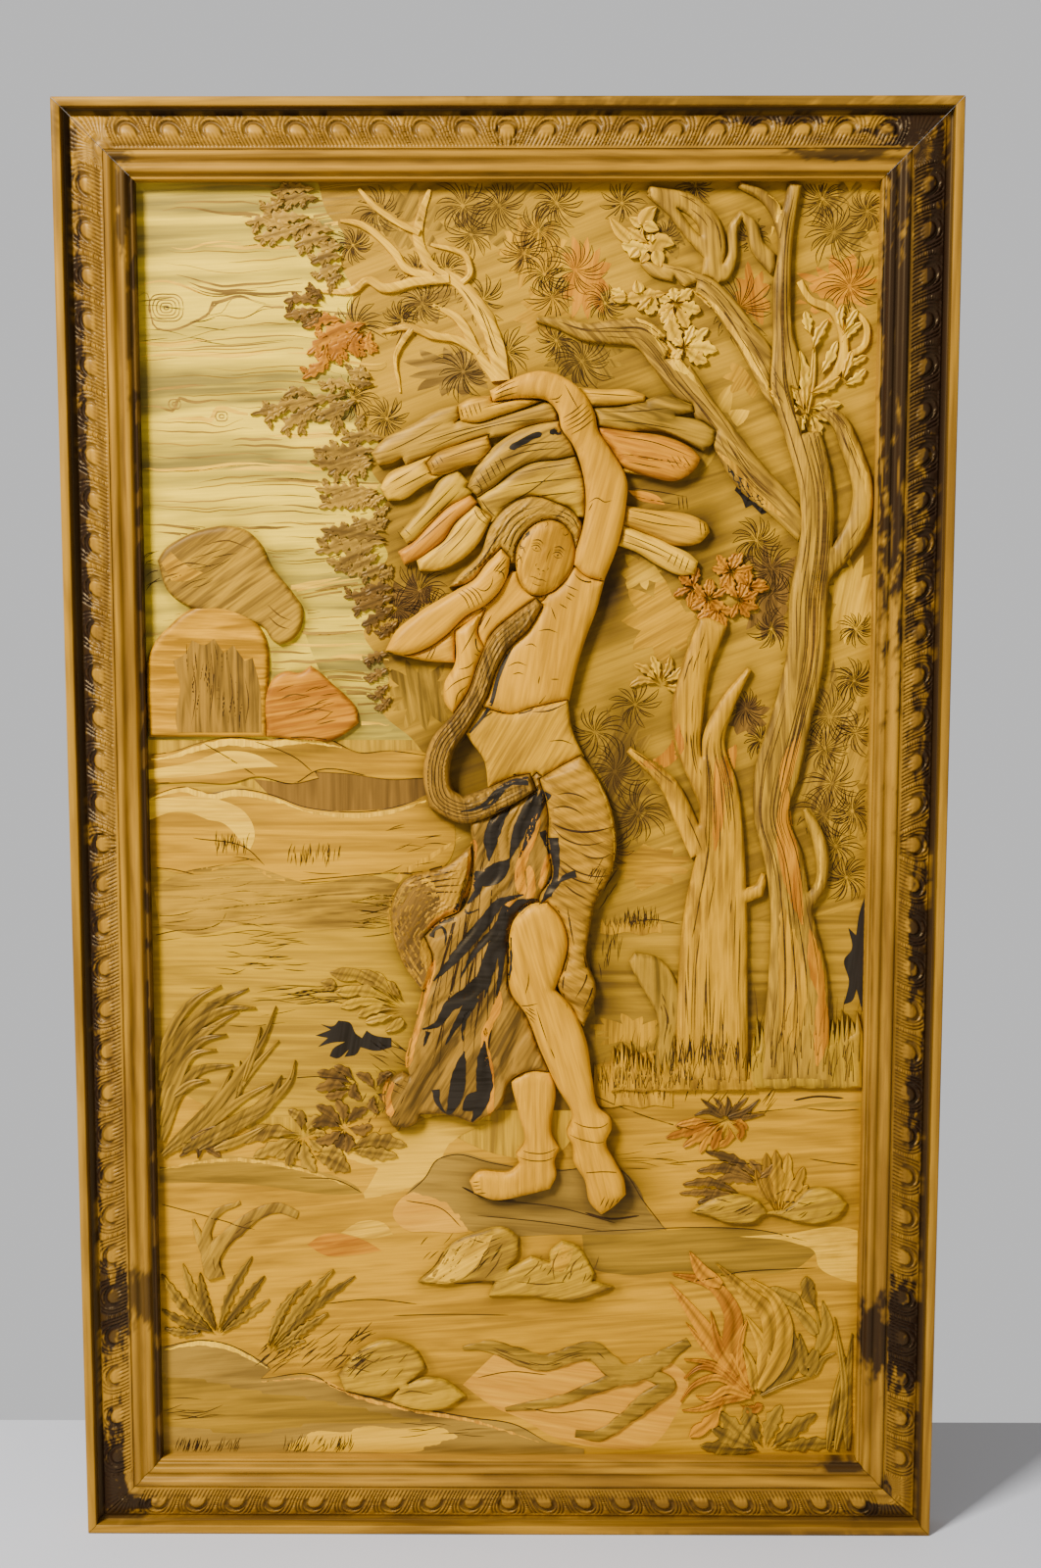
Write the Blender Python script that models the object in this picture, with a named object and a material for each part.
"""Carved and inlaid wooden wall panel: a wood gatherer under trees, in a carved frame.

Four mitred rails hold a board in their rebate. Every form of the picture is a piece of
wood fixed to the board's front. X runs to the right, +Y points into the wall, Z up. The
origin is the middle of the top rail's back, where the panel hangs.
"""
import math

import bmesh
import bpy
from mathutils import Matrix, Vector

# Frame and board, in metres
PANEL_WIDTH = 1.100
PANEL_HEIGHT = 1.820
RAIL_WIDTH = 0.095
RAIL_DEPTH = 0.050
REBATE_WIDTH = 0.009
REBATE_DEPTH = 0.016
BOARD_THICKNESS = 0.012
SEAT_GAP = 0.0003
MITRE_GAP = 0.0005

# Moulding of the rails: widths from the outer edge inward
FILLET_WIDTH = 0.0115
RECESS_WIDTH = 0.0085
BAND_WIDTH = 0.040
FILLET_ROUND = 0.0015
LINE_WIDTH = 0.0020
LINE_DEPTH = 0.0012

# Moulding of the rails: how far each member lies below the rail's front
RECESS_DROP = 0.017
BAND_OUTER_DROP = 0.0150
BAND_INNER_DROP = 0.0065
TORUS_DROP = 0.0045
COVE_DROP = 0.0110
BEAD_DROP = 0.0085
SIGHT_DROP = 0.0190

# Carving of the band
SHORT_RAIL_PITCH = 0.0514
LONG_RAIL_PITCH = 0.0541
KNEE_PLACE = 0.14
KNEE_RISE = 0.45
EGG_LENGTH = 0.034
EGG_WIDTH = 0.029
EGG_RISE = 0.0040
EGG_CROWN = 0.55
EGG_PLACE = 0.54
LEAF_SWEEP = math.radians(14)

# The picture is drawn in millimetres: right of the middle, and up from the frame's foot
DRAWN_WIDTH = 910.0
DRAWN_HEIGHT = 1630.0
DRAWN_FOOT = 95.0

# Thickness of the picture's pieces, in front of the board
FACE_RISE = 0.0260
ARM_RISE = 0.0250
HAIR_RISE = 0.0210
CHEST_RISE = 0.0200
WAIST_RISE = 0.0170
NECK_RISE = 0.0130
SCARF_RISE = 0.0235
WRAP_RISE = 0.0215
SKIRT_RISE = 0.0180
DRAPE_RISE = 0.0150
LEG_RISE = 0.0240
BACK_LEG_RISE = 0.0160
UPPER_STICK_RISE = 0.0190
LOWER_STICK_RISE = 0.0150
TRUNK_RISE = 0.0120
BRANCH_RISE = 0.0100
TWIG_RISE = 0.0070
LEAF_SPRAY_RISE = 0.0090
FOLIAGE_RISE = 0.0060
BOULDER_RISE = 0.0080
STONE_RISE = 0.0085
PLANT_RISE = 0.0060
SHOULDER = 0.0035
CUT_REACH = 0.060

# Section of a round-backed piece: share of the half width, share of the thickness
ROUND_SECTION = [(-1.0, 0.0), (-0.86, 0.62), (0.0, 1.0), (0.86, 0.62), (1.0, 0.0)]
RIDGE_SECTION = [(-1.0, 0.0), (-0.35, 0.9), (0.35, 0.9), (1.0, 0.0)]
END_THICKNESS = 0.75

# Colours of the woods: red, green, blue and roughness
HONEY = (0.42, 0.22, 0.055, 0.42)
PALE = (0.62, 0.42, 0.16, 0.45)
SKIN_WOOD = (0.55, 0.31, 0.075, 0.40)
ORANGE = (0.58, 0.25, 0.06, 0.42)
BARK = (0.28, 0.18, 0.075, 0.50)
OLIVE = (0.36, 0.25, 0.085, 0.48)
GROUND = (0.46, 0.29, 0.095, 0.45)

sight_width = PANEL_WIDTH - 2 * RAIL_WIDTH
sight_height = PANEL_HEIGHT - 2 * RAIL_WIDTH
top_edge = RAIL_WIDTH / 2
foot_edge = top_edge - PANEL_HEIGHT
middle_height = top_edge - PANEL_HEIGHT / 2
seat = REBATE_DEPTH

footprints = {}


def clear_scene():
    """Remove whatever the file holds, so the panel is alone in it."""
    for item in list(bpy.data.objects):
        bpy.data.objects.remove(item, do_unlink=True)


def collection(name):
    """A collection of the scene, made on first use."""
    found = bpy.data.collections.get(name)
    if found is None:
        found = bpy.data.collections.new(name)
        bpy.context.scene.collection.children.link(found)
    return found


def wood(name, tone):
    """A Principled material of one wood."""
    material = bpy.data.materials.new(name)
    material.use_nodes = True
    shader = material.node_tree.nodes["Principled BSDF"]
    shader.inputs["Base Color"].default_value = (tone[0], tone[1], tone[2], 1.0)
    shader.inputs["Roughness"].default_value = tone[3]
    shader.inputs["Metallic"].default_value = 0.0
    material.diffuse_color = (tone[0], tone[1], tone[2], 1.0)
    return material


def add_part(name, mesh_builder, tone):
    """Turn a bmesh into the named part, with its own wood."""
    bmesh.ops.recalc_face_normals(mesh_builder, faces=mesh_builder.faces)
    mesh = bpy.data.meshes.new(name)
    mesh_builder.to_mesh(mesh)
    mesh_builder.free()
    part = bpy.data.objects.new(name, mesh)
    part.data.materials.append(wood(name + "_wood", tone))
    collection("carved_wall_panel").objects.link(part)
    return part


def place(point, rise):
    """World place of a drawn point, at a distance in front of the board."""
    across = point[0] * sight_width / DRAWN_WIDTH
    up = foot_edge + RAIL_WIDTH + (point[1] - DRAWN_FOOT) * sight_height / DRAWN_HEIGHT
    return Vector((across, -(seat + rise), up))


def curve_through(points, steps, closed):
    """Catmull-Rom curve through points of any number of coordinates."""
    if steps == 1:
        return [tuple(point) for point in points]
    count = len(points)
    result = []
    for index in range(count if closed else count - 1):
        if closed:
            four = [points[(index + shift) % count] for shift in (-1, 0, 1, 2)]
        else:
            four = [points[min(max(index + shift, 0), count - 1)] for shift in (-1, 0, 1, 2)]
        for step in range(steps):
            t = step / steps
            weights = (
                (-t + 2 * t * t - t * t * t) / 2,
                (2 - 5 * t * t + 3 * t * t * t) / 2,
                (t + 4 * t * t - 3 * t * t * t) / 2,
                (t * t * t - t * t) / 2,
            )
            pairs = [[w * c for c in four_point] for w, four_point in zip(weights, four)]
            result.append(tuple(sum(column) for column in zip(*pairs)))
    if not closed:
        result.append(tuple(points[-1]))
    return result


def signed_area(outline):
    """Area of an outline, positive when it runs anticlockwise."""
    total = 0.0
    for index, point in enumerate(outline):
        following = outline[(index + 1) % len(outline)]
        total += point[0] * following[1] - following[0] * point[1]
    return total / 2


def grown(outline, amount):
    """The outline moved outward by an amount, in drawn millimetres."""
    turn = 1.0 if signed_area(outline) > 0 else -1.0
    result = []
    for index, point in enumerate(outline):
        here = Vector(point[:2])
        before = (here - Vector(outline[index - 1][:2])).normalized()
        after = (Vector(outline[(index + 1) % len(outline)][:2]) - here).normalized()
        outward = Vector((before.y + after.y, -before.x - after.x)) * turn
        if outward.length < 0.3:
            outward = before - after
        outward.normalize()
        spread = max(0.45, abs(outward.dot(Vector((after.y, -after.x)))))
        result.append(tuple(here + outward * amount / spread))
    return result


def slab_mesh(outline, rise, shoulder):
    """A flat piece: wall, top face and, on a thick piece, a shoulder between them."""
    builder = bmesh.new()
    base = [builder.verts.new(place(point, 0.0)) for point in outline]
    face = builder.faces.new(base)
    pushed = bmesh.ops.extrude_face_region(builder, geom=[face])
    risen = [item for item in pushed["geom"] if isinstance(item, bmesh.types.BMVert)]
    bmesh.ops.translate(builder, verts=risen, vec=(0.0, -(rise - shoulder), 0.0))
    if shoulder == 0.0:
        return builder
    top = [item for item in pushed["geom"] if isinstance(item, bmesh.types.BMFace)]
    bmesh.ops.recalc_face_normals(builder, faces=builder.faces)
    bmesh.ops.inset_region(builder, faces=top, thickness=shoulder, depth=0.0, use_even_offset=True)
    for corner in top[0].verts:
        corner.co.y = -(seat + rise)
    return builder


def limb_mesh(stations, rise, section):
    """A round-backed piece along a path: stations are right, up and width."""
    builder = bmesh.new()
    rings = []
    last = len(stations) - 1
    for index, (across, up, width) in enumerate(stations):
        before = stations[max(index - 1, 0)]
        after = stations[min(index + 1, last)]
        along = Vector((after[0] - before[0], after[1] - before[1])).normalized()
        side = Vector((along.y, -along.x)) * width / 2
        thickness = rise * (END_THICKNESS if index in (0, last) else 1.0)
        ring = []
        for share, height in section:
            point = (across + side.x * share, up + side.y * share)
            ring.append(builder.verts.new(place(point, thickness * height)))
        rings.append(ring)
    sides = len(section)
    for first, second in zip(rings, rings[1:]):
        for index in range(sides):
            other = (index + 1) % sides
            builder.faces.new((first[index], first[other], second[other], second[index]))
    builder.faces.new(rings[0])
    builder.faces.new(reversed(rings[-1]))
    return builder


def limb_outline(stations):
    """Footprint of a round-backed piece."""
    left, right = [], []
    last = len(stations) - 1
    for index, (across, up, width) in enumerate(stations):
        before = stations[max(index - 1, 0)]
        after = stations[min(index + 1, last)]
        along = Vector((after[0] - before[0], after[1] - before[1])).normalized()
        side = Vector((along.y, -along.x)) * width / 2
        left.append((across - side.x, up - side.y))
        right.append((across + side.x, up + side.y))
    return right + left[::-1]


def apply_modifiers(part):
    """Replace the part's mesh by its evaluated one."""
    bpy.context.view_layer.update()
    depsgraph = bpy.context.evaluated_depsgraph_get()
    mesh = bpy.data.meshes.new_from_object(part.evaluated_get(depsgraph))
    part.modifiers.clear()
    part.data = mesh


def join_bodies(part, others):
    """Unite other bodies with the part, so that they are one piece of wood."""
    for other in others:
        union = part.modifiers.new("join", "BOOLEAN")
        union.operation = "UNION"
        union.object = other
    apply_modifiers(part)
    for other in others:
        bpy.data.objects.remove(other, do_unlink=True)


def keep_body(part):
    """Drop the offcuts that the fitting leaves, and keep the piece itself."""
    builder = bmesh.new()
    builder.from_mesh(part.data)
    unseen = set(builder.verts)
    bodies = []
    while unseen:
        start = unseen.pop()
        body = {start}
        edge_of_body = [start]
        while edge_of_body:
            vertex = edge_of_body.pop()
            for edge in vertex.link_edges:
                other = edge.other_vert(vertex)
                if other in unseen:
                    unseen.remove(other)
                    body.add(other)
                    edge_of_body.append(other)
        bodies.append(body)

    def spread(body):
        width = max(v.co.x for v in body) - min(v.co.x for v in body)
        return width * (max(v.co.z for v in body) - min(v.co.z for v in body))

    bodies.sort(key=spread)
    for body in bodies[:-1]:
        bmesh.ops.delete(builder, geom=list(body), context="VERTS")
    builder.to_mesh(part.data)
    builder.free()


def cutter(outline):
    """A prism through the picture, the outline of a piece in front plus the fitting gap."""
    clearance = SEAT_GAP * 1000.0
    builder = bmesh.new()
    base = [builder.verts.new(place(point, -CUT_REACH / 4)) for point in grown(outline, clearance)]
    face = builder.faces.new(base)
    pushed = bmesh.ops.extrude_face_region(builder, geom=[face])
    risen = [item for item in pushed["geom"] if isinstance(item, bmesh.types.BMVert)]
    bmesh.ops.translate(builder, verts=risen, vec=(0.0, -CUT_REACH, 0.0))
    bmesh.ops.recalc_face_normals(builder, faces=builder.faces)
    mesh = bpy.data.meshes.new("cutter")
    builder.to_mesh(mesh)
    builder.free()
    body = bpy.data.objects.new("cutter", mesh)
    body.hide_render = True
    body.display_type = "WIRE"
    collection("cutters").objects.link(body)
    return body


def boxes_meet(first, second):
    """Whether the boxes round two outlines touch."""
    for axis in (0, 1):
        first_reach = [point[axis] for point in first]
        second_reach = [point[axis] for point in second]
        if min(first_reach) > max(second_reach) + 1 or min(second_reach) > max(first_reach) + 1:
            return False
    return True


def fit_behind(part):
    """Trim a piece where the pieces already laid stand in front of it."""
    own = footprints[part.name]
    cutters = []
    for name, outlines in footprints.items():
        if name == part.name:
            continue
        for outline in outlines:
            if any(boxes_meet(outline, mine) for mine in own):
                cutters.append(cutter(outline))
    for body in cutters:
        cut = part.modifiers.new("fit", "BOOLEAN")
        cut.operation = "DIFFERENCE"
        cut.object = body
    apply_modifiers(part)
    for body in cutters:
        bpy.data.objects.remove(body, do_unlink=True)
    keep_body(part)


def lay_slab(name, outlines, rise, tone, shoulder=SHOULDER, steps=1):
    """Lay a flat piece of one or more joined outlines behind all pieces laid before."""
    drawn = [curve_through(outline, steps, True) for outline in outlines]
    bodies = []
    for index, outline in enumerate(drawn):
        label = name if index == 0 else name + "_joined"
        bodies.append(add_part(label, slab_mesh(outline, rise, shoulder), tone))
    if len(bodies) > 1:
        join_bodies(bodies[0], bodies[1:])
    footprints[name] = drawn
    fit_behind(bodies[0])


def lay_limbs(name, paths, rise, tone, section=None, steps=1):
    """Lay a round-backed piece of one or more joined limbs behind all pieces laid before."""
    profile = section or ROUND_SECTION
    drawn = [curve_through(path, steps, False) for path in paths]
    bodies = []
    for index, path in enumerate(drawn):
        label = name if index == 0 else name + "_joined"
        bodies.append(add_part(label, limb_mesh(path, rise, profile), tone))
    if len(bodies) > 1:
        join_bodies(bodies[0], bodies[1:])
    footprints[name] = [limb_outline(path) for path in drawn]
    fit_behind(bodies[0])


def fan(base, tips, notch, half_width=0.0):
    """Outline of blades that spread from one base, tips clockwise, a notch between each pair."""
    foot = Vector(base)
    first = (Vector(tips[0]) - foot).normalized()
    last = (Vector(tips[-1]) - foot).normalized()
    outline = [tuple(foot + Vector((-first.y, first.x)) * half_width)]
    for index, tip in enumerate(tips):
        outline.append(tuple(tip))
        if index < len(tips) - 1:
            between = (Vector(tip) + Vector(tips[index + 1])) / 2
            outline.append(tuple(foot.lerp(between, notch)))
    if half_width > 0.0:
        outline.append(tuple(foot + Vector((last.y, -last.x)) * half_width))
    return outline


def rosette(centre, reach, lobes, depth, turn):
    """Outline of a cluster of leaves: lobes of a stretched circle, pointed outward."""
    outline = []
    for index in range(2 * lobes):
        angle = math.radians(turn) + math.pi * index / lobes
        share = 1.0 if index % 2 == 0 else 1.0 - depth
        outline.append((
            centre[0] + reach[0] * share * math.cos(angle),
            centre[1] + reach[1] * share * math.sin(angle),
        ))
    return outline


def oval(centre, half_width, half_height, tilt, corners):
    """Outline of a head: an ellipse that narrows to the chin, leaning to the right."""
    outline = []
    for index in range(corners):
        angle = 2 * math.pi * index / corners
        narrowing = 1.0 - 0.16 * max(0.0, -math.sin(angle))
        right = half_width * narrowing * math.cos(angle)
        up = half_height * math.sin(angle)
        lean = math.radians(tilt)
        outline.append((
            centre[0] + right * math.cos(lean) + up * math.sin(lean),
            centre[1] - right * math.sin(lean) + up * math.cos(lean),
        ))
    return outline


def rail_profile():
    """Section of a rail: distance from the outer edge, and height above the wall."""
    band_start = FILLET_WIDTH + RECESS_WIDTH
    band_end = band_start + BAND_WIDTH
    inner = RAIL_WIDTH - band_end
    front = RAIL_DEPTH
    band_rise = BAND_OUTER_DROP - BAND_INNER_DROP
    torus_start = band_end + LINE_WIDTH
    return [
        (0.0, 0.0),
        (0.0, front - FILLET_ROUND),
        (FILLET_ROUND, front),
        (FILLET_WIDTH - FILLET_ROUND, front),
        (FILLET_WIDTH, front - FILLET_ROUND),
        (FILLET_WIDTH, front - RECESS_DROP),
        (band_start, front - RECESS_DROP),
        (band_start, front - BAND_OUTER_DROP),
        (band_start + KNEE_PLACE * BAND_WIDTH, front - BAND_OUTER_DROP + KNEE_RISE * band_rise),
        (band_end, front - BAND_INNER_DROP),
        (band_end + LINE_WIDTH / 2, front - BAND_INNER_DROP - LINE_DEPTH),
        (torus_start, front - TORUS_DROP - LINE_DEPTH / 2),
        (torus_start + 0.10 * inner, front - TORUS_DROP),
        (torus_start + 0.22 * inner, front - TORUS_DROP - LINE_DEPTH),
        (torus_start + 0.34 * inner, front - COVE_DROP),
        (torus_start + 0.46 * inner, front - COVE_DROP),
        (torus_start + 0.56 * inner, front - BEAD_DROP),
        (torus_start + 0.68 * inner, front - BEAD_DROP - LINE_DEPTH),
        (torus_start + 0.78 * inner, front - SIGHT_DROP + LINE_DEPTH),
        (RAIL_WIDTH, front - SIGHT_DROP),
        (RAIL_WIDTH, REBATE_DEPTH),
        (RAIL_WIDTH - REBATE_WIDTH, REBATE_DEPTH),
        (RAIL_WIDTH - REBATE_WIDTH, 0.0),
    ]


def rail_frame(side):
    """Matrix of a rail (X along it, Y toward the wall, Z outward), its length and pitch."""
    quarter = {"top": 0, "left": 1, "bottom": 2, "right": 3}[side]
    if quarter % 2 == 0:
        outward, length, pitch = PANEL_HEIGHT / 2, PANEL_WIDTH, SHORT_RAIL_PITCH
    else:
        outward, length, pitch = PANEL_WIDTH / 2, PANEL_HEIGHT, LONG_RAIL_PITCH
    turn = Matrix.Rotation(-quarter * math.pi / 2, 4, "Y")
    centre = Matrix.Translation(Vector((0.0, 0.0, middle_height)))
    return centre @ turn @ Matrix.Translation(Vector((0.0, 0.0, outward))), length, pitch


def band_height(distance):
    """Height of the carved band above the wall, past its knee, at a distance from the edge."""
    share = (distance - FILLET_WIDTH - RECESS_WIDTH) / BAND_WIDTH
    rise = (BAND_OUTER_DROP - BAND_INNER_DROP) * (1.0 - KNEE_RISE)
    return RAIL_DEPTH - BAND_INNER_DROP - rise * (1.0 - share) / (1.0 - KNEE_PLACE)


def carving_mesh(length, pitch):
    """Eggs along the band from its middle to the corners, swept away from the middle."""
    builder = bmesh.new()
    band_end = FILLET_WIDTH + RECESS_WIDTH + BAND_WIDTH
    count = int((length / 2 - band_end - EGG_LENGTH / 2) / pitch)
    egg_line = FILLET_WIDTH + RECESS_WIDTH + EGG_PLACE * BAND_WIDTH
    slope = math.atan2(band_height(RAIL_WIDTH) - band_height(egg_line), RAIL_WIDTH - egg_line)
    for index in range(-count, count + 1):
        where = Vector((index * pitch, -band_height(egg_line), -egg_line))
        sweep = Matrix.Rotation(LEAF_SWEEP * (index > 0) - LEAF_SWEEP * (index < 0), 4, "Y")
        lean = Matrix.Rotation(math.pi / 2 + slope, 4, "X")
        size = Matrix.Diagonal(Vector((EGG_LENGTH / 2, EGG_WIDTH / 2, 2 * EGG_RISE, 1.0)))
        shape = Matrix.Translation(where) @ sweep @ lean @ size
        bmesh.ops.create_cone(
            builder, cap_ends=True, segments=6, radius1=1.0, radius2=EGG_CROWN, depth=1.0,
            matrix=shape,
        )
    return builder


def make_rail(side):
    """One mitred rail with its rebate and its carved band."""
    matrix, length, pitch = rail_frame(side)
    profile = rail_profile()
    builder = bmesh.new()
    ends = []
    for direction in (-1.0, 1.0):
        ring = []
        for distance, height in profile:
            along = direction * (length / 2 - distance - MITRE_GAP)
            ring.append(builder.verts.new(Vector((along, -height, -distance))))
        ends.append(ring)
    for index in range(len(profile)):
        other = (index + 1) % len(profile)
        builder.faces.new((ends[0][index], ends[0][other], ends[1][other], ends[1][index]))
    builder.faces.new(ends[0])
    builder.faces.new(reversed(ends[1]))
    rail = add_part("rail_" + side, builder, HONEY)
    join_bodies(rail, [add_part("rail_" + side + "_carving", carving_mesh(length, pitch), HONEY)])
    rail.matrix_world = matrix


def make_board():
    """The board in the rebate, which carries the picture."""
    builder = bmesh.new()
    margin = 2 * (REBATE_WIDTH - SEAT_GAP)
    size = Vector((sight_width + margin, BOARD_THICKNESS, sight_height + margin))
    depth = REBATE_DEPTH - SEAT_GAP - BOARD_THICKNESS / 2
    where = Matrix.Translation(Vector((0.0, -depth, middle_height)))
    bmesh.ops.create_cube(builder, size=1.0, matrix=where @ Matrix.Diagonal(size.to_4d()))
    add_part("board", builder, GROUND)


def make_figure():
    """The wood gatherer, from the pieces in front to those behind."""
    lay_slab("face", [oval((46, 1268), 37, 48, 18, 14)], FACE_RISE, SKIN_WOOD)
    lay_slab("raised_arm", [[
        (80, 1262), (98, 1246), (120, 1240), (138, 1288), (147, 1335), (148, 1362), (127, 1402),
        (112, 1425), (107, 1447), (92, 1472), (72, 1488), (40, 1497), (12, 1490), (-22, 1473),
        (-18, 1460), (20, 1464), (50, 1460), (62, 1446), (66, 1428), (80, 1408), (95, 1362),
        (96, 1322), (88, 1288)]], ARM_RISE, SKIN_WOOD)
    lay_slab("bent_forearm", [[
        (-153, 1153), (-140, 1177), (-115, 1198), (-62, 1230), (-42, 1242), (-26, 1262),
        (-8, 1280), (3, 1268), (0, 1248), (-10, 1228), (-28, 1210), (-50, 1198), (-78, 1172),
        (-102, 1156), (-132, 1148)]], ARM_RISE, SKIN_WOOD)
    lay_limbs("scarf", [[
        (40, 1214, 12), (18, 1190, 26), (-10, 1164, 28), (-26, 1132, 24), (-37, 1100, 24),
        (-58, 1066, 26), (-82, 1034, 32), (-90, 1000, 34), (-84, 966, 38), (-56, 952, 34),
        (-20, 964, 34), (12, 980, 30), (32, 988, 22)]], SCARF_RISE, BARK)
    lay_slab("front_leg", [[
        (8, 812), (28, 832), (50, 834), (68, 812), (76, 785), (70, 750), (60, 722), (84, 694),
        (100, 655), (108, 605), (117, 566), (132, 552), (133, 540), (126, 522), (138, 495),
        (150, 470), (152, 452), (135, 435), (120, 425), (106, 440), (99, 470), (84, 497),
        (83, 515), (75, 533), (82, 552), (62, 595), (40, 645), (22, 690), (4, 716),
        (1, 760)]], LEG_RISE, SKIN_WOOD)
    lay_slab("hip_wrap", [[
        (40, 992), (70, 1010), (93, 1022), (112, 995), (130, 955), (137, 915), (130, 870),
        (112, 835), (104, 800), (100, 760), (112, 725), (97, 672), (75, 700), (50, 760),
        (40, 836), (56, 870), (51, 905), (51, 950)]], WRAP_RISE, OLIVE)
    lay_slab("skirt", [
        [(-49, 950), (-12, 960), (12, 975), (36, 1000), (58, 984), (60, 870), (70, 800),
         (40, 700), (60, 614), (22, 613), (2, 600), (-8, 570), (-45, 545), (-75, 556),
         (-118, 557), (-128, 612), (-124, 655), (-108, 712), (-96, 765), (-106, 790),
         (-88, 808), (-60, 822), (-44, 872)],
        [(-150, 603), (-135, 612), (-112, 600), (-108, 575), (-115, 550), (-130, 540),
         (-150, 542), (-158, 560), (-156, 590)],
    ], SKIRT_RISE, BARK)
    lay_slab("back_leg", [[
        (0, 625), (60, 625), (58, 526), (66, 512), (60, 496), (62, 476), (54, 458), (20, 449),
        (-20, 443), (-44, 452), (-50, 468), (-42, 478), (5, 483), (14, 492), (10, 504),
        (20, 518), (14, 556), (4, 598)]], BACK_LEG_RISE, SKIN_WOOD)
    lay_slab("drape", [[
        (-40, 912), (-75, 882), (-110, 868), (-135, 858), (-148, 830), (-146, 790),
        (-135, 755), (-110, 718), (-80, 740), (-60, 830)]], DRAPE_RISE, ORANGE)
    lay_slab("waist", [[
        (-44, 1086), (-60, 1062), (-47, 1040), (-30, 1015), (-24, 975), (35, 975), (70, 990),
        (96, 1020), (82, 1050), (75, 1092), (30, 1082), (0, 1074)]], WAIST_RISE, SKIN_WOOD)
    lay_slab("chest_right", [[
        (62, 1240), (88, 1262), (121, 1240), (112, 1208), (98, 1170), (86, 1130), (77, 1090),
        (45, 1084), (15, 1072), (-30, 1080), (-38, 1130), (-10, 1165), (20, 1195),
        (45, 1216)]], CHEST_RISE, SKIN_WOOD)
    lay_slab("chest_left", [[
        (-28, 1206), (-38, 1176), (-26, 1150), (-28, 1110), (-58, 1060), (-78, 1086),
        (-80, 1110), (-66, 1138), (-66, 1178)]], CHEST_RISE, SKIN_WOOD)
    lay_slab("neck", [[
        (-30, 1210), (-39, 1176), (-28, 1148), (4, 1160), (45, 1205), (70, 1235), (50, 1250),
        (5, 1252), (-10, 1232)]], NECK_RISE, SKIN_WOOD)
    lay_slab("bent_upper_arm", [[
        (-144, 1149), (-90, 1168), (-50, 1204), (-30, 1206), (-44, 1172), (-66, 1137),
        (-100, 1140)]], BACK_LEG_RISE, SKIN_WOOD)
    lay_slab("hair", [[
        (-74, 1232), (-60, 1248), (-35, 1272), (-20, 1310), (0, 1332), (28, 1344), (60, 1336),
        (85, 1322), (97, 1300), (90, 1255), (60, 1255), (10, 1262), (-8, 1262), (-22, 1252),
        (-45, 1238)]], HAIR_RISE, BARK)


def make_sticks():
    """The bundle of firewood behind the head and the raised arm."""
    upper, lower = UPPER_STICK_RISE, LOWER_STICK_RISE
    lay_limbs("stick_01", [[
        (-44, 1350, 18), (-28, 1368, 32), (-8, 1388, 38), (20, 1405, 42), (60, 1413, 46),
        (92, 1418, 42)]], upper, BARK)
    lay_limbs("stick_02", [[
        (-97, 1378, 16), (-84, 1384, 28), (-55, 1395, 28), (-20, 1404, 32)]], upper, ORANGE)
    lay_limbs("stick_03", [[
        (-60, 1446, 20), (-46, 1449, 30), (-10, 1456, 26), (40, 1468, 18)]], upper, ORANGE)
    lay_limbs("stick_04", [[
        (-112, 1259, 14), (-92, 1265, 26), (-70, 1277, 32), (-50, 1300, 38),
        (-30, 1326, 26)]], lower, OLIVE)
    lay_limbs("stick_05", [[
        (-133, 1268, 18), (-112, 1278, 24), (-90, 1298, 26), (-65, 1322, 26),
        (-42, 1342, 14)]], lower, ORANGE)
    lay_limbs("stick_06", [[
        (-130, 1292, 16), (-110, 1307, 28), (-88, 1330, 32), (-70, 1350, 40),
        (-52, 1366, 36)]], lower, OLIVE)
    lay_limbs("stick_07", [[
        (-154, 1347, 18), (-140, 1356, 36), (-115, 1370, 32), (-85, 1384, 28)]], lower, PALE)
    lay_slab("stick_08", [[
        (-38, 1342), (-15, 1360), (2, 1378), (25, 1387), (60, 1391), (97, 1396), (101, 1350),
        (95, 1318), (20, 1325), (-5, 1315), (-22, 1312)]], lower, OLIVE)
    lay_limbs("stick_09", [
        [(-165, 1390, 18), (-148, 1400, 30), (-110, 1420, 30), (-78, 1440, 26), (-56, 1452, 12)],
        [(-130, 1390, 20), (-90, 1410, 30), (-40, 1427, 32), (10, 1440, 32), (60, 1448, 28)],
    ], lower, BARK)
    lay_limbs("stick_10", [[
        (84, 1466, 24), (120, 1465, 20), (150, 1466, 18), (170, 1464, 8)]], lower, PALE)
    lay_slab("stick_11", [[
        (104, 1452), (150, 1456), (190, 1468), (228, 1457), (230, 1448), (208, 1443),
        (240, 1436), (257, 1425), (254, 1410), (242, 1400), (185, 1424), (150, 1424),
        (108, 1430)]], lower, OLIVE)
    lay_slab("stick_12", [[
        (105, 1432), (150, 1424), (200, 1416), (230, 1401), (239, 1391), (233, 1379),
        (214, 1365), (170, 1370), (145, 1379), (125, 1405)]], upper, ORANGE)
    lay_limbs("stick_13", [
        [(140, 1352, 26), (185, 1345, 32), (220, 1338, 28), (237, 1338, 14)],
        [(142, 1374, 10), (180, 1368, 12), (212, 1360, 12), (230, 1353, 6)],
    ], lower, ORANGE)
    lay_limbs("stick_14", [[
        (136, 1324, 22), (175, 1313, 30), (215, 1304, 42), (240, 1302, 28),
        (250, 1305, 10)]], lower, PALE)
    lay_limbs("stick_15", [[
        (128, 1300, 24), (165, 1290, 30), (195, 1272, 30), (222, 1260, 28),
        (235, 1256, 16)]], lower, PALE)


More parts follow.
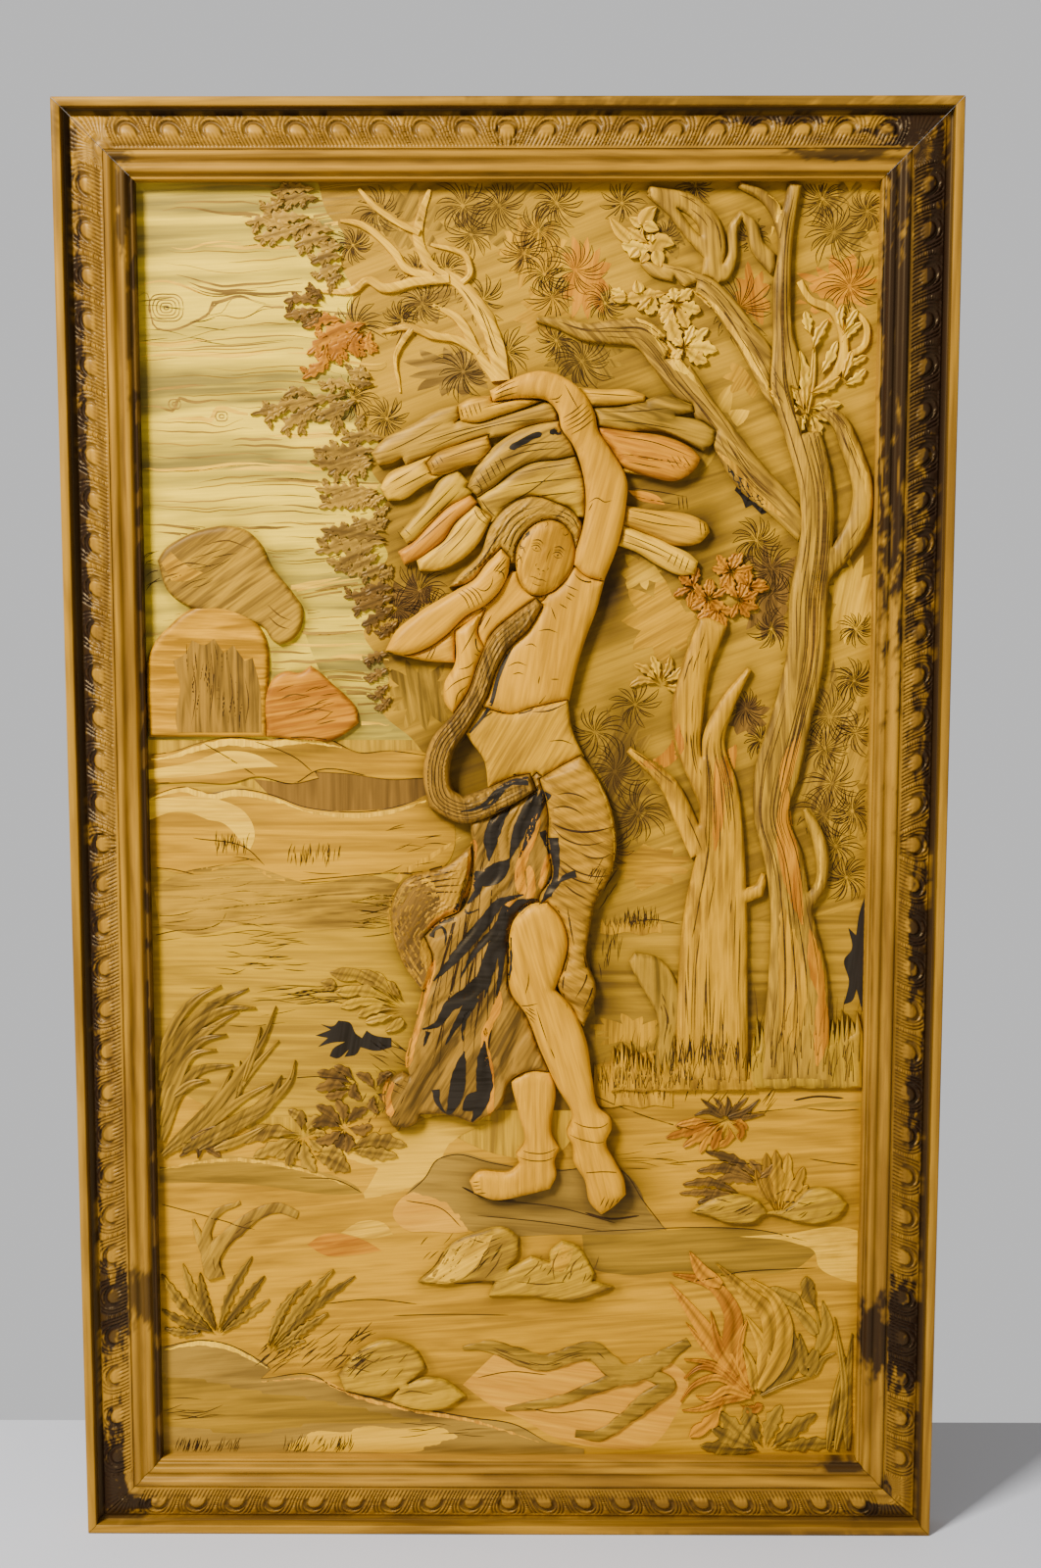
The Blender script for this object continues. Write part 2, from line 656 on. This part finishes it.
def make_leaves():
    """Sprays of pale leaves in front of the branches, and the edge of the crown."""
    lay_slab("leaf_spray_01", [
        rosette((160, 1678), (28, 22), 5, 0.45, 20),
        rosette((168, 1645), (36, 26), 6, 0.40, 5)], LEAF_SPRAY_RISE, PALE, 0.0)
    lay_slab("leaf_spray_02", [
        rosette((165, 1585), (42, 22), 6, 0.40, 8),
        rosette((212, 1578), (32, 34), 7, 0.38, 0),
        rosette((222, 1530), (36, 28), 7, 0.38, 14)], LEAF_SPRAY_RISE, PALE, 0.0)
    lay_slab("leaf_spray_03", [
        fan((362, 1448), [(350, 1478), (362, 1518), (368, 1566), (394, 1556), (404, 1530),
                          (406, 1484), (410, 1456)], 0.5, 6),
        rosette((374, 1438), (16, 22), 4, 0.35, 50)], LEAF_SPRAY_RISE, PALE, 0.0)
    lay_slab("leaf_spray_04", [
        rosette((275, 1253), (36, 24), 7, 0.35, 0),
        rosette((262, 1215), (48, 28), 8, 0.35, 10)], LEAF_SPRAY_RISE, ORANGE, 0.0)


def make_trees():
    """Trunks and branches, and the bare light tree beside the crown."""
    lay_limbs("tree_tall", [
        [(368, 600, 92), (369, 750, 72), (361, 815, 54), (348, 895, 48), (334, 940, 44),
         (340, 1000, 56), (356, 1065, 50), (374, 1150, 48), (376, 1215, 48), (384, 1290, 42),
         (383, 1350, 42), (366, 1418, 44), (346, 1482, 44), (339, 1540, 25), (337, 1600, 22),
         (340, 1665, 20), (351, 1722, 16)],
        [(380, 1235, 26), (415, 1275, 26), (436, 1312, 28), (441, 1345, 26), (424, 1405, 24),
         (408, 1438, 20), (368, 1470, 16)],
        [(340, 1655, 14), (328, 1690, 15), (314, 1706, 13), (283, 1721, 8)],
        [(374, 820, 22), (394, 850, 16), (396, 905, 17), (385, 935, 14), (375, 953, 5)],
    ], TRUNK_RISE, BARK)
    lay_limbs("tree_middle", [
        [(262, 600, 92), (262, 750, 88), (265, 830, 78), (270, 900, 60), (266, 985, 46),
         (259, 1040, 28), (275, 1085, 20), (303, 1130, 6)],
        [(256, 940, 16), (240, 985, 18), (228, 1030, 30), (226, 1075, 40), (236, 1130, 36),
         (258, 1190, 36)],
        [(152, 1028, 8), (180, 1006, 15), (204, 982, 22), (222, 945, 26), (244, 895, 26)],
        [(290, 838, 20), (318, 848, 18), (326, 870, 8)],
    ], TRUNK_RISE, OLIVE)
    lay_limbs("branch_slanting", [[
        (356, 1440, 36), (330, 1480, 36), (312, 1512, 34), (290, 1545, 30), (266, 1577, 28),
        (245, 1598, 24), (215, 1612, 20), (178, 1622, 18), (148, 1648, 10)]], BRANCH_RISE, BARK)
    lay_limbs("branch_left", [[
        (35, 1560, 6), (62, 1556, 14), (95, 1545, 22), (130, 1545, 30), (165, 1543, 36),
        (192, 1518, 40), (212, 1490, 38), (235, 1462, 30), (262, 1428, 28), (280, 1398, 38),
        (305, 1365, 42), (335, 1338, 36), (372, 1300, 30)]], BRANCH_RISE, BARK)
    lay_limbs("branch_upper", [
        [(246, 1590, 22), (254, 1640, 26), (246, 1675, 27), (222, 1698, 22), (172, 1716, 9)],
        [(330, 1622, 22), (306, 1648, 18), (298, 1674, 14), (286, 1686, 12), (277, 1672, 12),
         (275, 1634, 13), (264, 1612, 14), (248, 1606, 10)],
        [(246, 1640, 16), (222, 1664, 14), (200, 1692, 14), (172, 1710, 6)],
    ], BRANCH_RISE, BARK)
    lay_limbs("light_tree", [
        [(-9, 1486, 24), (-13, 1522, 22), (-34, 1572, 20), (-56, 1601, 16), (-95, 1626, 14),
         (-110, 1662, 13), (-104, 1692, 10), (-95, 1716, 5)],
        [(-72, 1610, 12), (-112, 1606, 12), (-155, 1599, 12), (-172, 1608, 10), (-188, 1597, 10),
         (-228, 1594, 4)],
        [(-92, 1612, 10), (-125, 1622, 10), (-140, 1642, 10), (-188, 1677, 8), (-205, 1679, 4)],
        [(-56, 1604, 8), (-46, 1614, 8), (-50, 1634, 8), (-94, 1651, 4)],
        [(-14, 1488, 14), (-38, 1522, 12), (-62, 1562, 11), (-92, 1578, 4)],
        [(-36, 1520, 10), (-62, 1536, 10), (-92, 1541, 10), (-122, 1551, 9), (-156, 1545, 4)],
        [(-118, 1549, 8), (-137, 1520, 7), (-133, 1472, 3)],
        [(-108, 1664, 9), (-135, 1677, 8), (-166, 1699, 8), (-182, 1717, 4)],
    ], TWIG_RISE, PALE, RIDGE_SECTION)
    lay_limbs("stem_right", [
        [(358, 1606, 8), (372, 1584, 9), (398, 1572, 11), (412, 1545, 11), (412, 1510, 12),
         (396, 1484, 10), (376, 1470, 8)],
        [(422, 1574, 5), (440, 1556, 8), (440, 1530, 9), (412, 1512, 8)],
    ], TWIG_RISE, PALE, RIDGE_SECTION)


def make_foliage():
    """Dark clusters of leaves along the left edge of the crown."""
    lay_slab("foliage_upper", [
        rosette((-268, 1690), (36, 26), 7, 0.30, 0),
        rosette((-245, 1650), (44, 24), 8, 0.30, 12)], FOLIAGE_RISE, BARK, 0.0)
    lay_slab("foliage_middle", [
        rosette((-212, 1545), (50, 34), 8, 0.28, 0),
        rosette((-238, 1474), (64, 44), 9, 0.28, 8)], FOLIAGE_RISE, ORANGE, 0.0)
    lay_slab("foliage_lower", [
        rosette((-195, 1390), (50, 28), 8, 0.28, 0),
        rosette((-198, 1335), (46, 42), 8, 0.28, 10),
        rosette((-190, 1275), (48, 36), 8, 0.28, 4)], FOLIAGE_RISE, BARK, 0.0)


def make_rocks():
    """Boulders in the distance, and rocks and stones on the ground."""
    lay_slab("boulders", [
        [(-438, 1265), (-420, 1284), (-380, 1304), (-345, 1308), (-318, 1296), (-295, 1255),
         (-257, 1205), (-260, 1178), (-285, 1158), (-330, 1190), (-390, 1203), (-425, 1225)],
        [(-453, 1044), (-452, 1145), (-425, 1182), (-395, 1205), (-362, 1213), (-330, 1200),
         (-303, 1168), (-300, 1110), (-305, 1044)],
        [(-306, 1044), (-304, 1105), (-280, 1125), (-250, 1132), (-225, 1115), (-190, 1070),
         (-193, 1055), (-212, 1044)],
    ], BOULDER_RISE, ORANGE)
    lay_slab("rock_group", [
        [(-118, 331), (-95, 352), (-75, 382), (-45, 397), (0, 403), (14, 392), (13, 368),
         (-12, 330), (-50, 332), (-85, 327)],
        [(53, 345), (54, 372), (70, 387), (88, 381), (113, 344), (110, 333), (80, 327)],
        [(-14, 340), (30, 366), (60, 355), (90, 338), (138, 324), (95, 308), (20, 312),
         (-26, 312)],
    ], STONE_RISE, OLIVE)
    lay_slab("stones", [
        [(237, 426), (262, 443), (295, 450), (325, 440), (337, 425), (318, 412), (285, 411),
         (258, 421)],
        [(330, 424), (360, 432), (395, 459), (420, 455), (440, 437), (430, 422), (405, 411),
         (378, 412), (350, 420)],
    ], STONE_RISE, PALE)
    lay_slab("rocks_low", [
        [(-224, 205), (-190, 242), (-165, 252), (-118, 236), (-107, 214), (-135, 190),
         (-160, 176), (-215, 182)],
        [(-156, 168), (-140, 190), (-110, 201), (-85, 198), (-55, 176), (-80, 160), (-130, 157)],
    ], STONE_RISE, OLIVE)
    lay_limbs("stump", [[
        (158, 762, 14), (178, 748, 38), (200, 715, 42), (207, 680, 30), (203, 648, 24),
        (204, 615, 40)]], STONE_RISE, OLIVE)


def make_plants():
    """Plants, fallen wood and grasses on the ground."""
    lay_limbs("driftwood", [
        [(-60, 241, 4), (-25, 243, 16), (10, 231, 22), (45, 221, 22), (88, 234, 22), (110, 238, 24),
         (132, 218, 28), (155, 206, 28), (182, 216, 28), (236, 250, 12)],
        [(150, 202, 20), (105, 184, 16), (70, 170, 14), (30, 162, 12), (-4, 157, 5)],
        [(88, 124, 10), (118, 121, 16), (150, 142, 18), (182, 170, 24), (210, 192, 20), (176, 208, 16)],
    ], PLANT_RISE, BARK)
    lay_slab("plant_right", [fan(
        (318, 170), [(228, 128), (222, 172), (228, 210), (226, 256), (212, 330), (236, 373),
                     (272, 358), (318, 336), (346, 312), (388, 340), (412, 262), (372, 200)],
        0.62, 10), fan(
        (330, 106), [(253, 108), (270, 132), (278, 152), (322, 168), (358, 166), (400, 152)],
        0.60, 6)], PLANT_RISE, OLIVE, 0.0)
    lay_slab("grass_left", [fan(
        (-446, 592), [(-410, 702), (-368, 726), (-336, 722), (-328, 697), (-362, 658),
                      (-356, 622)], 0.74, 8), fan(
        (-444, 510), [(-425, 610), (-352, 640), (-298, 694), (-296, 650), (-275, 622),
                      (-286, 570), (-318, 522), (-355, 500)], 0.74, 10)],
        PLANT_RISE, OLIVE, 0.0)
    lay_slab("plant_left", [fan(
        (-122, 600), [(-215, 508), (-248, 545), (-246, 600), (-240, 660), (-240, 722),
                      (-226, 743), (-187, 746), (-150, 738)],
        0.72, 12)], PLANT_RISE, OLIVE, 0.0)
    lay_slab("fern", [fan(
        (-384, 262), [(-452, 290), (-452, 338), (-425, 352), (-400, 340), (-336, 362),
                      (-320, 336), (-316, 304)], 0.66, 14), fan(
        (-316, 238), [(-283, 310), (-262, 328), (-230, 345), (-203, 337), (-220, 308),
                      (-242, 280), (-272, 246)], 0.60, 12), [
        (-420, 262), (-300, 262), (-296, 236), (-330, 232), (-410, 248)]],
        PLANT_RISE, OLIVE, 0.0)
    lay_limbs("dead_branch", [
        [(-382, 336, 22), (-388, 362, 26), (-368, 388, 19), (-350, 404, 18), (-325, 422, 15),
         (-300, 430, 14), (-274, 420, 10)],
        [(-390, 362, 18), (-392, 398, 12), (-382, 420, 10), (-348, 437, 5)],
        [(-392, 366, 16), (-402, 390, 12), (-410, 414, 4)],
    ], PLANT_RISE, BARK)


def make_panel():
    """The whole panel, the picture's front pieces first."""
    clear_scene()
    for side in ("top", "bottom", "left", "right"):
        make_rail(side)
    make_board()
    make_figure()
    make_sticks()
    make_leaves()
    make_trees()
    make_foliage()
    make_rocks()
    make_plants()


make_panel()
